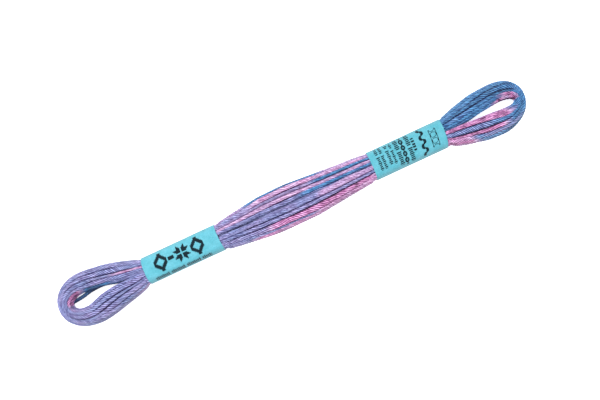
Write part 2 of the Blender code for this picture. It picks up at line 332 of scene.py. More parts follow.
def smooth_column(column, x):
    """A column of LEGS at each x: a cubic through the rows that never passes beyond them."""
    places = np.array([row.x for row in LEGS])
    values = np.array([getattr(row, column) for row in LEGS])
    widths = np.diff(places)
    rises = np.diff(values) / widths
    before, after = rises[:-1], rises[1:]
    same_way = before * after > 0
    slopes = np.zeros(len(values))
    mean = 2 * before * after / np.where(same_way, before + after, 1)
    slopes[1:-1] = np.where(same_way, mean, 0)
    i = np.clip(np.searchsorted(places, x, side="right") - 1, 0, len(widths) - 1)
    t = (x - places[i]) / widths[i]
    level = values[i] * (1 + 2 * t) * (1 - t) ** 2 + values[i + 1] * (3 - 2 * t) * t**2
    return level + widths[i] * t * (1 - t) * (slopes[i] * (1 - t) - slopes[i + 1] * t)


def leg_ring(x, side):
    """The sections of the upper (side 1) or lower (side -1) leg whose outer edges are at x."""
    which = "up" if side > 0 else "down"
    left = ease(1 - (x - LEGS[0].x) / LEAN_RUN)
    right = ease(1 - (LEGS[-1].x - x) / LEAN_RUN)
    lean = LEFT_FOLD.lean * left + RIGHT_FOLD.lean * right
    columns = ("inner_" + which, "outer_" + which, "bottom", "top")
    inner, outer, bottom, top = (smooth_column(column, x) for column in columns)
    return np.stack([x + lean, inner, x, outer, bottom, top, 1 - left - right])


def fold_ring(row, fold, way, angle):
    """The sections of the fold past the table's row, at angles up from the skein's axis."""
    along = np.clip(np.cos(angle), 0, 1)
    across = np.sin(angle)
    level = np.sign(across) * np.abs(across) ** (2 / FULLNESS)
    bow = along ** (2 / FULLNESS)

    def on_oval(up, down, shift):
        return (up + down) / 2 + (up - down) / 2 * level + along * shift

    return np.stack([
        row.x + fold.lean + way * fold.eye_reach * bow,
        on_oval(row.inner_up, row.inner_down, fold.eye_shift),
        row.x + way * fold.reach * bow,
        on_oval(row.outer_up, row.outer_down, fold.tip_shift),
        np.full(angle.shape, row.bottom),
        row.top + (fold.tip_top - row.top) * along,
        np.zeros(angle.shape),
    ])


def ring_at(tau):
    """The ring's sections at each tau, from 0, at the left of the upper leg, to RING."""
    tau = tau % RING
    count = np.arange(LEG_STEPS + 1)
    back = tau - LEG_STEPS - FOLD_STEPS
    right_turn = np.clip((tau - LEG_STEPS) / FOLD_STEPS, 0, 1)
    left_turn = np.clip((back - LEG_STEPS) / FOLD_STEPS, 0, 1)
    parts = np.stack([
        leg_ring(np.interp(tau, count, PLACES), 1),
        fold_ring(LEGS[-1], RIGHT_FOLD, 1, pi / 2 - pi * right_turn),
        leg_ring(np.interp(back, count, PLACES[::-1]), -1),
        fold_ring(LEGS[0], LEFT_FOLD, -1, pi * left_turn - pi / 2),
    ])
    ends = np.array([LEG_STEPS, LEG_STEPS + FOLD_STEPS, 2 * LEG_STEPS + FOLD_STEPS])
    which = np.searchsorted(ends, tau)
    return Ring(*parts[which, :, np.arange(len(tau))].T)


def unit_outlines(pressed):
    """For each section a rounded outline from -1 to 1 both ways, and each point's share of the way
    round it."""
    angles = np.linspace(0, TURN, OUTLINE_POINTS + 1)
    squareness = ROUND_SIDE + (SQUARE_SIDE - ROUND_SIDE) * pressed[:, None]
    power = 2 / np.where(np.cos(angles) > 0, ROUND_SIDE, squareness)
    across = np.sign(np.cos(angles)) * np.abs(np.cos(angles)) ** power
    upward = np.sign(np.sin(angles)) * np.abs(np.sin(angles)) ** power
    arc = np.cumsum(np.hypot(np.diff(across), np.diff(upward)), axis=1)
    arc = np.concatenate([np.zeros((len(arc), 1)), arc], axis=1) / arc[:, -1:]
    return across, upward, arc


def on_outline(ring, outlines, place, scale=1.0):
    """The point on each section's outline that far round it, as a share, from its outer edge."""
    across, upward, arc = outlines
    place = place % 1
    row = np.arange(len(place))
    i = np.clip((arc <= place[:, None]).sum(axis=1) - 1, 0, OUTLINE_POINTS - 1)
    t = (place - arc[row, i]) / (arc[row, i + 1] - arc[row, i])
    level = across[row, i] * (1 - t) + across[row, i + 1] * t
    rise = upward[row, i] * (1 - t) + upward[row, i + 1] * t
    slant = ring.pressed * SLANT * rise * (1 - level) / 2
    point = np.stack([
        (ring.outer_x - ring.inner_x) / 2 * level * scale,
        (ring.outer_y - ring.inner_y) / 2 * level * scale,
        (ring.top - ring.bottom) / 2 * rise * scale,
    ], axis=1)
    point += middles(ring)
    point[:, 1] += slant
    return point


def middles(ring):
    """The middle of each section."""
    return np.stack([
        (ring.inner_x + ring.outer_x) / 2,
        (ring.inner_y + ring.outer_y) / 2,
        (ring.bottom + ring.top) / 2,
    ], axis=1)


# ============ the turns of floss
def freedom(x):
    """0 where a band grips the turns, 1 well away from it."""
    free = np.ones(len(x))
    for band in BANDS:
        beyond = np.maximum(band.left - x, x - band.right)
        free *= ease((beyond - GRIP_REACH) / FREE_RUN)
    return free


def even_taus(path_at, step):
    """Values of tau that lie evenly along a closed path, the lengths up to them, and its length."""
    tau = np.linspace(0, RING, PATH_SAMPLES)
    lengths = lengths_along(path_at(tau))
    count = round(lengths[-1] / step)
    even = np.arange(count) * lengths[-1] / count
    return np.interp(even, lengths, tau), even, lengths[-1]


def turn_edges(turn, tau):
    """Where a turn's two edges and its middle lie round the section, as shares of the outline."""
    share = tau / RING
    roll = ROLL_START + wave(ROLL, share, 0)
    start = (turn + roll + waves(WANDER, share, turn)) / RIDGES
    end = (turn + 1 + roll + waves(WANDER, share, (turn + 1) % RIDGES)) / RIDGES
    return start, (start + end) / 2, end


def closed_tangents(points):
    return unit(np.roll(points, -1, axis=0) - np.roll(points, 1, axis=0))


# lengths and dye have a value for each station along the thread, points and rise for each point
# round it. rise is how open a point is to the light.
Thread = namedtuple("Thread", "points closed lengths total rise dye")


def outer_turn(turn):
    """One of the turns that show: a thread whose strands lie round it as ridges."""
    def crest(tau):
        ring = ring_at(tau)
        return on_outline(ring, unit_outlines(ring.pressed), turn_edges(turn, tau)[1])

    tau, lengths, total = even_taus(crest, OUTER_STEP)
    ring = ring_at(tau)
    outlines = unit_outlines(ring.pressed)
    start, middle, end = (on_outline(ring, outlines, place) for place in turn_edges(turn, tau))
    along = closed_tangents(middle)
    outward = unit(np.cross(end - start, along))
    sideways = np.cross(along, outward)
    width = np.linalg.norm(middle - start, axis=1) + np.linalg.norm(end - middle, axis=1)
    thickness = np.minimum(THREAD_AREA / (pi / 4 * width), THICKEST)
    x, leg, share = middle[:, 0], which_leg(tau), lengths / total
    heave = waves(HEAVE, share, turn + 0.5) * freedom(x)
    centre = middle + outward * (heave - thickness / 2)[:, None]
    phase = strand_phase(turn, lengths, total)
    points, rise, flank = twisted(centre, sideways, outward, width, thickness, phase)
    rise -= painted_gap_shade(turn, x, leg, share, flank)
    return Thread(points, True, lengths, total, rise, dye_along(turn, x, leg, share))


def strand_phase(turn, lengths, total):
    """How far round the thread its strands have gone at each length: whole turns in all."""
    return TURN * round(total / LAY) * lengths / total + waves(SLACK, lengths / total, turn)


def twisted(centre, sideways, outward, width, thickness, phase):
    """The points round a thread at each station, which turn with its strands; how open each is to
    the light, from -1 to 1; and how far it is towards the next turn, from -1 to 1."""
    sides = STRANDS * len(LOBE)
    angle = (np.arange(sides) * TURN / sides)[None, :] - phase[:, None]
    profile = np.tile(LOBE, STRANDS)[None, :]
    across = np.cos(angle) * profile * width[:, None] / 2
    up = np.sin(angle) * profile * thickness[:, None] / 2
    facing_up = np.cos(angle) * sideways[:, None, 2] + np.sin(angle) * outward[:, None, 2]
    rise = np.maximum(np.sin(angle), facing_up)
    rise *= 1 - SIDE_SHADE * ease((SIDE_WIDTH - abs(facing_up)) / SIDE_WIDTH)
    return set_round(centre, across, up, sideways, outward), rise, np.cos(angle)


def set_round(centre, across, up, sideways, outward):
    """Points round each station of a path, so far across it and up from it. They stop at the
    surface that the skein lies on."""
    points = centre[:, None] + across[..., None] * sideways[:, None]
    points = points + up[..., None] * outward[:, None]
    points[..., 2] = np.maximum(points[..., 2], 0.0)
    return points


def which_leg(tau):
    """1 in the upper half of the ring, -1 in the lower half."""
    leg = np.where(tau <= LEG_STEPS + FOLD_STEPS / 2, 1, -1)
    return np.where(tau >= RING - FOLD_STEPS / 2, 1, leg)


def within(x, row, softness):
    """1 inside the stretch of x that a row gives, 0 outside it, with soft ends."""
    return ease((x - row.start) / softness + 0.5) * ease((row.end - x) / softness + 0.5)


def painted_gap_shade(turn, x, leg, share, flank):
    """How much less light is painted on a turn's flanks, as though it had parted from its
    neighbours.
    """
    depth = np.zeros(flank.shape)
    for gap in GAP_SHADES:
        if turn not in (gap.turn, gap.turn + 1):
            continue
        there = within(x, gap, GAP_SOFTNESS) * (leg == gap.leg)
        there = there * (1 + waves(GAP_RAG, share, gap.turn))
        side = 1 if turn == gap.turn else -1
        depth += gap.depth * there[:, None] * np.maximum(side * flank, 0) ** GAP_EDGE
    return depth


def dye_along(turn, x, leg, share):
    """A turn's dye at each station."""
    dye = np.interp(x, *zip(*BASE_DYE)) + waves(DYE_DRIFT, share, turn)
    for stretch in DYED_AND_SHADED:
        if stretch.turn == turn:
            there = within(x, stretch, DYE_SOFTNESS) * (leg == stretch.leg)
            dye += (stretch.dye - dye) * there
    return dye


def inner_turn(ring_kind, turn):
    """A turn inside the hank, as a plain tube."""
    def path(tau):
        ring = ring_at(tau)
        place = np.full(len(tau), (turn + 0.5) / ring_kind.turns)
        return on_outline(ring, unit_outlines(ring.pressed), place, ring_kind.scale)

    tau, lengths, total = even_taus(path, INNER_STEP)
    ring = ring_at(tau)
    centre = path(tau)
    along = closed_tangents(centre)
    sideways = unit(np.cross(centre - middles(ring), along))
    outward = np.cross(sideways, along)
    half_width = np.hypot(ring.outer_x - ring.inner_x, ring.outer_y - ring.inner_y) / 2
    half = np.minimum(half_width, (ring.top - ring.bottom) / 2)
    angle = np.arange(INNER_SIDES) * TURN / INNER_SIDES
    across = np.cos(angle)[None, :] * (half * ring_kind.width)[:, None]
    up = np.sin(angle)[None, :] * (half * ring_kind.thickness)[:, None]
    points = set_round(centre, across, up, sideways, outward)
    dye = np.interp(centre[:, 0], *zip(*BASE_DYE))
    return Thread(points, True, lengths, total, np.full(across.shape, -1.0), dye)


def smooth_route(route, step):
    """Points a step apart along a smooth curve through the route's points (Catmull-Rom)."""
    route = np.array(route)
    knots = np.array([2 * route[0] - route[1], *route, 2 * route[-1] - route[-2]])
    t = np.linspace(0, 1, ROUTE_SAMPLES, endpoint=False)[:, None]
    curve = []
    for a, b, c, d in zip(knots, knots[1:], knots[2:], knots[3:]):
        bend = (2 * a - 5 * b + 4 * c - d) * t**2
        curve.append((2 * b + (c - a) * t + bend + (3 * b - a - 3 * c + d) * t**3) / 2)
    curve = np.concatenate([*curve, knots[-2:-1]])
    lengths = lengths_along(curve)
    even = np.linspace(0, lengths[-1], round(lengths[-1] / step) + 1)
    return np.stack([np.interp(even, lengths, column) for column in curve.T], axis=1), even


def stray_turn():
    """The turn that has slipped into the left eye."""
    centre, lengths = smooth_route(STRAY_ROUTE, OUTER_STEP)
    along = unit(np.gradient(centre, axis=0))
    sideways = unit(np.cross((0.0, 0.0, 1.0), along))
    outward = np.cross(along, sideways)
    size = np.full(len(centre), STRAY_WIDTH)
    points, rise, _ = twisted(centre, sideways, outward, size, size, TURN * lengths / LAY)
    dye = np.interp(centre[:, 0], *zip(*STRAY_DYE_AND_SHADE))
    return Thread(points, False, lengths, lengths[-1], rise, dye)


# ============ meshes
BAKE_ROWS = 4  # rows that one thread's length is cut into on the map for baking
ROW_MARGIN = 0.06  # of a row's height, above and below what lies in it
MAP_MARGIN = 0.004  # of the map's size


def inset(share, margin):
    """Shares from 0 to 1, drawn in from both ends."""
    return margin + (1 - 2 * margin) * share


def thread_object(name, threads, material):
    """Threads as one mesh. Its maps: "fibre" holds mm along and turns round a thread, and "OFBake"
    holds each thread's length in rows that don't overlap."""
    points, faces, dye, rise, furrow, fibre, bake = [], [], [], [], [], [], []
    offset = 0
    for number, thread in enumerate(threads):
        stations, sides = thread.points.shape[:2]
        count = stations if thread.closed else stations - 1
        i, j = np.divmod(np.arange(count * sides), sides)
        # The four corners of each face, as stations along the thread and steps round it.
        station = np.stack([i, i, i + 1, i + 1], 1)
        step = np.stack([j, j + 1, j + 1, j], 1)
        faces.append(offset + station % stations * sides + step % sides)
        points.append(thread.points.reshape(-1, 3))
        dye.append(np.repeat(thread.dye, sides))
        rise.append(thread.rise.ravel())
        lobe = np.array(LOBE if sides == STRANDS * len(LOBE) else (1.0,))
        furrow.append(np.tile((1 - lobe) / (1 - min(LOBE)), stations * sides // len(lobe)))
        lengths = np.append(thread.lengths, thread.total)
        fibre.append(np.stack([lengths[station], step / sides], 2).reshape(-1, 2))
        row_length = -(-count // BAKE_ROWS)
        row = i[:, None] // row_length
        run = inset((station - row * row_length) / row_length, MAP_MARGIN)
        height = number * BAKE_ROWS + row + inset(step / sides, ROW_MARGIN)
        bake.append(np.stack([run, height / (BAKE_ROWS * len(threads))], 2).reshape(-1, 2))
        offset += stations * sides
    made = object_from(name, np.concatenate(points), np.concatenate(faces), [material])
    mesh = made.data
    mesh.shade_smooth()
    for attribute, values in (("dye", dye), ("rise", rise), ("furrow", furrow)):
        layer = mesh.attributes.new(attribute, "FLOAT", "POINT")
        layer.data.foreach_set("value", np.concatenate(values).astype(np.float32))
    for layer_name, values in (("fibre", fibre), ("OFBake", bake)):
        layer = mesh.uv_layers.new(name=layer_name, do_init=False)
        layer.uv.foreach_set("vector", np.concatenate(values).astype(np.float32).ravel())
    return made


def object_from(name, points, faces, materials):
    """A mesh in the scene, from points in millimetres."""
    mesh = bpy.data.meshes.new(name)
    mesh.from_pydata(points * MM, [], faces)
    made = bpy.data.objects.new(name, mesh)
    bpy.context.scene.collection.objects.link(made)
    for material in materials:
        mesh.materials.append(material)
    return made


# ============ the paper bands
CELL = 0.4  # a square of the printed ornament
PRINT_STEP = CELL / 2
LAP = 5.0  # how far the paper's ends overlap, under the skein
LAP_STEP = PAPER + 0.02  # how far the inner end lies inside the outer one
LAP_RAMP = 1.5  # length over which it steps in
TOP_POINTS = 41  # across a band's top and its bottom
CORNER_DEGREES = 3  # between the points round a band's corners
SHARP_DEGREES = 50
FACE, INKED, CUT = range(3)  # a band's materials: its face, the ink there, and its back and rims

# How far the paper stands off its outline: faint ridges of the turns below, and soft dents.
TURN_PITCH, TURN_RELIEF, DENT_RELIEF = 1.45, 0.008, 0.014


def band_outline(width):
    """A band's outer outline: points across and up, anticlockwise seen from +X, and their lengths
    from the middle of its top."""
    level = width / 2 - BAND_CORNER
    low, high = BAND_CORNER, BAND_HEIGHT - BAND_CORNER
    quarter = np.radians(np.arange(0, 90 + CORNER_DEGREES, CORNER_DEGREES))
    across = np.linspace(1, -1, TOP_POINTS) * level
    top = np.stack([across, BAND_HEIGHT + BAND_CROWN * (1 - (across / level) ** 2)], 1)
    middle = TOP_POINTS // 2
    pieces = [top[middle:]]
    corners = ((-level, high, 90), (-level, low, 180), (level, low, 270), (level, high, 0))
    for y, z, start in corners:
        angle = quarter + radians(start)
        pieces.append(np.stack([np.cos(angle), np.sin(angle)], 1) * BAND_CORNER + (y, z))
    outline = np.concatenate([*pieces, top[: middle + 1]])
    # Where two pieces meet they share a point, which is needed once.
    outline = outline[np.append(np.diff(lengths_along(outline)) > 1e-9, True)]
    return outline, lengths_along(outline)


def band_edge(place, skew, bulge, y, width):
    """Where a cut end of the paper lies, y across from the skein's axis."""
    return place + tan(radians(skew)) * y + bulge * (1 - (2 * y / width) ** 2)


def paper_strip(band):
    """Where the strip's rows lie round the skein, from the inner end to the outer one, as distances
    from the middle of the top; and for each row the outline's point and outward direction."""
    outline, lengths = band_outline(band.width)
    girth = lengths[-1]

    def point_at(along):
        return np.stack([np.interp(along % girth, lengths, column) for column in outline.T], 1)

    count = round((girth + LAP) / PRINT_STEP)
    along = np.linspace(-(girth + LAP) / 2, (girth + LAP) / 2, count + 1)
    near = 0.05
    tangent = unit(point_at(along + near) - point_at(along - near))
    outward = np.stack([tangent[:, 1], -tangent[:, 0]], 1)
    tuck = LAP_STEP * ease(1 - (along + girth / 2 - LAP / 2) / LAP_RAMP)
    return along, point_at(along) - outward * tuck[:, None], outward


def make_band(name, band, printed, materials):
    """The paper strip as a closed thin sheet. printed says which squares of its face hold ink."""
    along, point, outward = paper_strip(band)
    columns = round((band.right - band.left) / PRINT_STEP)
    share = np.linspace(0, 1, columns + 1)
    y = point[:, 0]
    left = band_edge(band.left, band.left_skew, -band.left_bulge, y, band.width)
    right = band_edge(band.right, band.right_skew, band.right_bulge, y, band.width)
    x = left[:, None] + (right - left)[:, None] * share[None, :]
    puff = paper_relief(x, along[:, None])
    layers = []
    for depth in (0.0, PAPER):
        place = point[:, None] + outward[:, None] * (puff - depth)[..., None]
        place[..., 1] = np.maximum(place[..., 1], 0.0 if depth == 0 else PAPER)
        layers.append(np.concatenate([x[..., None], place], axis=2))
    rows, across = x.shape
    index = np.arange(rows * across).reshape(rows, across)
    under = index + rows * across

    def quads(a, b):
        """Faces between two equally long runs of corners."""
        return np.stack([a[:-1], a[1:], b[1:], b[:-1]], 1)

    face = [index[:-1, :-1], index[:-1, 1:], index[1:, 1:], index[1:, :-1]]
    back = [under[:-1, :-1], under[1:, :-1], under[1:, 1:], under[:-1, 1:]]
    face, back = (np.stack(corners, 2).reshape(-1, 4) for corners in (face, back))
    rims = [
        quads(index[:, 0], under[:, 0]),
        quads(under[:, -1], index[:, -1]),
        quads(under[0], index[0]),
        quads(index[-1], under[-1]),
    ]
    made = object_from(
        name,
        np.concatenate([layer.reshape(-1, 3) for layer in layers]),
        np.concatenate([face, back, *rims]),
        materials,
    )
    # From the band's left end, and up the picture from the middle of its top.
    place = (np.arange(columns) + 0.5) * PRINT_STEP
    upward = -(along[:-1] + along[1:]) / 2
    ink = printed(place[None, :], upward[:, None])
    slots = np.full(len(made.data.polygons), CUT, np.int32)
    slots[: len(face)] = np.where(ink, INKED, FACE).ravel()
    made.data.polygons.foreach_set("material_index", slots)
    made.data.shade_smooth()
    made.data.set_sharp_from_angle(angle=radians(SHARP_DEGREES))
    lay_out_strip(made.data, rows, across)
    return made


def paper_relief(x, along):
    """How far the paper stands off its outline."""
    ridges = np.cos(TURN * along / TURN_PITCH + 0.5 * np.sin(x / 5))
    dents = np.sin(x / 2.1 + along / 3.0) * np.sin(along / 1.7 - x / 6.3)
    return TURN_RELIEF * ridges + DENT_RELIEF * dents


def lay_out_strip(mesh, rows, across):
    """The map for baking: the face fills the lower half, the back and the rims the upper one."""
    corners = np.empty(len(mesh.loops), np.int32)
    mesh.loops.foreach_get("vertex_index", corners)
    layer_size = rows * across
    grid = corners % layer_size
    uv = np.stack([(grid % across) / (across - 1), (grid // across) / (rows - 1)], 1)
    back = np.repeat(np.arange(len(mesh.polygons)) >= (rows - 1) * (across - 1), 4)
    uv = MAP_MARGIN + uv * (1 - 2 * MAP_MARGIN, 0.5 - 3 * MAP_MARGIN)
    uv[back, 1] += 0.5
    layer = mesh.uv_layers.new(name="OFBake", do_init=False)
    layer.uv.foreach_set("vector", uv.astype(np.float32).ravel())


# ------------ the printed ornament
def in_cells(place, middle, cell=CELL):
    """Counts squares of the ornament from a middle square."""
    return np.floor((place - middle) / cell + 0.5)


def repeated(count, every):
    """The squares' places in a motif that comes again every so many squares, from its middle."""
    return count % every - every // 2


def flower(a, b, petal=3):
    """A flower of four broad petals."""
    most, least = np.maximum(abs(a), abs(b)), np.minimum(abs(a), abs(b))
    return (least >= 1) & (least <= petal) & (most - least <= petal)


def diamond(a, b, reach=8.5, wall=4.6, steepness=1.3, blunt_a=6, blunt_b=7.5):
    """A tall diamond with a thick wall and blunt corners."""
    far = abs(a) * steepness + abs(b)
    return (far <= reach) & (far > reach - wall) & (abs(b) < blunt_b) & (abs(a) < blunt_a)


def bar(a, b):
    return (abs(a) <= 2) & (abs(b) <= 1)


TICK = 3  # squares from one tick to the next, of which the last is left clear
TICK_GROUP = 9  # ticks from one group to the next, of which the last is left out
TALL_TICK, SHORT_TICK = 1.15, 0.8
# A line of ticks runs from low to high, at its place across.
Line = namedtuple("Line", "place low high height")


def ticks(line, run, across):
    """A ruled border: fine ticks in groups of eight, every third one tall."""
    square = np.floor((run - line.low) / PRINT_STEP + 0.25)
    number = square // TICK % TICK_GROUP
    inside = (run > line.low) & (run < line.high) & (square % TICK < TICK - 1)
    tall = line.height * np.where(number % 3 == 1, TALL_TICK, SHORT_TICK)
    return inside & (number < TICK_GROUP - 1) & (abs(across - line.place) < tall / 2)


LEFT_TICKS = Line(-4.2, 2.4, 21.8, 1.3)
LEFT_MOTIFS = ((6.0, diamond), (9.6, bar), (13.4, flower), (18.8, diamond))
LEFT_LEVEL = 0.45  # how far the motifs' middles lie from the middle of the band's top


def left_print(place, upward):
    """Bold stitched motifs in a row, and a row of ticks below them."""
    ink = ticks(LEFT_TICKS, place, upward)
    for middle, motif in LEFT_MOTIFS:
        ink |= motif(in_cells(place, middle), in_cells(upward, LEFT_LEVEL))
    return ink


RIGHT_TICKS = (
    Line(2.6, -3.0, 4.6, 1.0),
    Line(4.1, -3.0, 4.6, 1.0),
    Line(6.0, -2.3, 4.2, 0.9),
    Line(7.5, -2.8, 4.4, 0.9),
    Line(9.4, -4.2, 4.8, 1.4),
    Line(13.2, -4.4, 4.8, 1.4),
)


def right_print(place, upward):
    """Lines of ticks across the band, and four broader chains of small motifs between them."""
    ink = np.zeros(np.broadcast(place, upward).shape, bool)
    for line in RIGHT_TICKS:
        ink |= ticks(line, upward, place)
    fine = CELL / 2
    long_chain = abs(upward) < 4.6

    # Lozenges, each with a dot in a clear ring.
    a = in_cells(place, 11.1, fine)
    b = repeated(in_cells(upward, 0, fine), 10)
    far = abs(a) + abs(b)
    ink |= (far <= 5) & (far != 1) & (abs(a) <= 3) & long_chain

    # Dashes.
    a = in_cells(place, 14.7, fine)
    b = repeated(in_cells(upward, 0.3, fine), 5)
    ink |= bar(a, b) & (upward > -1.9) & (upward < 2.7)

    # A bold zigzag.
    a = in_cells(place, 17.8, fine)
    b = repeated(in_cells(upward, 0, fine), 14)
    ink |= (abs(abs(b) - 3.5 - a * 0.7) <= 2.1) & (abs(a) <= 5) & long_chain

    # Rings with a dot in them, between two rules.
    a = in_cells(place, 21.6, fine)
    b = repeated(in_cells(upward, -0.2, fine), 10)
    ring = abs(np.hypot(a, b) - 4.2) < 0.5
    dot = (abs(a) + abs(b)) == 0
    rules = abs(a) == 6
    return ink | ((ring | dot | rules) & (upward > -3.2) & (upward < 2.8))


# ============ materials
NOISE_LOW, NOISE_HIGH = 0.3, 0.7  # between which most of a noise's values lie
UPRIGHT, LEVEL = 0.25, 0.95  # how far a surface's normal points up, or down, to count as either
# How strongly painted shade greys and darkens what stands upright. On the floss it sets in
# between the two distances given below, in metres from the skein's axis.
PAPER_UPRIGHT_SHADE, FLOSS_UPRIGHT_SHADE = 0.4, 0.55
UPRIGHT_SHADE_START, UPRIGHT_SHADE_END = 0.002, 0.0045
PLY_PITCH = 0.75  # length along a strand in which its plies go once round it
# How the floss's noise is stretched: round a thread and along it, and from one strand to the next,
# along it and across the hank.
WRAP, WRAP_ALONG = 2.0, 0.45
STRAND_STEP, STRAND_ALONG, STRAND_ACROSS = 3.7, 0.55, 700.0
SHADED, LIT = 0.12, 0.78  # the rise at which a flank gets no light, and all of it
FURROW_LIGHT = 0.05  # what is left of the light at the bottom of a furrow
MOST_LIGHT = 1.15
DARKEST, BRIGHTEST = 0.18, 1.63  # what the colour is multiplied with, without light and with most


class Nodes:
    """Adds nodes to a material's tree and links them in one go."""

    def __init__(self, material):
        material.use_nodes = True
        self.tree = material.node_tree
        self.shader = self.tree.nodes["Principled BSDF"]

    def add(self, kind, settings=(), **sockets):
        """A node. A socket is given by its name, or as n0, n1 and so on by its number."""
        node = self.tree.nodes.new("ShaderNode" + kind)
        for name, value in dict(settings).items():
            setattr(node, name, value)
        for name, value in sockets.items():
            numbered = name[0] == "n" and name[1:].isdigit()
            self.put(node.inputs[int(name[1:]) if numbered else name], value)
        return node

    def put(self, socket, value):
        if isinstance(value, bpy.types.NodeSocket):
            self.tree.links.new(value, socket)
        else:
            socket.default_value = value

    def attribute(self, name):
        return self.add("Attribute", {"attribute_name": name}).outputs["Fac"]

    def maths(self, operation, *values):
        sockets = {f"n{i}": value for i, value in enumerate(values)}
        return self.add("Math", {"operation": operation}, **sockets).outputs[0]

    def ranged(self, value, low, high, to_low, to_high):
        """The value, taken from low to high as going from to_low to to_high, and held there."""
        return self.add("MapRange", n0=value, n1=low, n2=high, n3=to_low, n4=to_high).outputs[0]

    def noise(self, vector, scale, detail=2.0, roughness=0.5):
        settings = {"Scale": scale, "Detail": detail, "Roughness": roughness}
        return self.add("TexNoise", Vector=vector, **settings).outputs["Fac"]

    def spread(self, noise, least, most):
        """Noise as a value that mostly lies between the two."""
        return self.ranged(noise, NOISE_LOW, NOISE_HIGH, least, most)

    def mixed(self, share, first, second, blend="MIX"):
        node = self.tree.nodes.new("ShaderNodeMix")
        node.data_type = "RGBA"
        node.blend_type = blend
        self.put(node.inputs[0], share)
        self.put(node.inputs[6], first)
        self.put(node.inputs[7], second)
        return node.outputs[2]


def shade_upright_sides(nodes, colour, share):
    """The colour, greyed and darkened by painted shade where the surface stands upright."""
    normal = nodes.add("TexCoord").outputs["Normal"]
    upward = nodes.maths("ABSOLUTE", nodes.add("SeparateXYZ", Vector=normal).outputs[2])
    upright = nodes.ranged(upward, UPRIGHT, LEVEL, 1.0, 0.0)
    return nodes.mixed(nodes.maths("MULTIPLY", upright, share), colour, linear(UPRIGHT_SHADE_GREY))


def dye_colour(nodes, dye):
    """The colour that DYE_AND_SHADE_RAMP gives for a dye."""
    ramp = nodes.add("ValToRGB", Fac=dye)
    stops = ramp.color_ramp.elements
    while len(stops) < len(DYE_AND_SHADE_RAMP):
        stops.new(0.5)
    for stop, (place, colour) in zip(stops, DYE_AND_SHADE_RAMP):
        stop.position = place
        stop.color = linear(colour)
    return ramp.outputs["Color"]


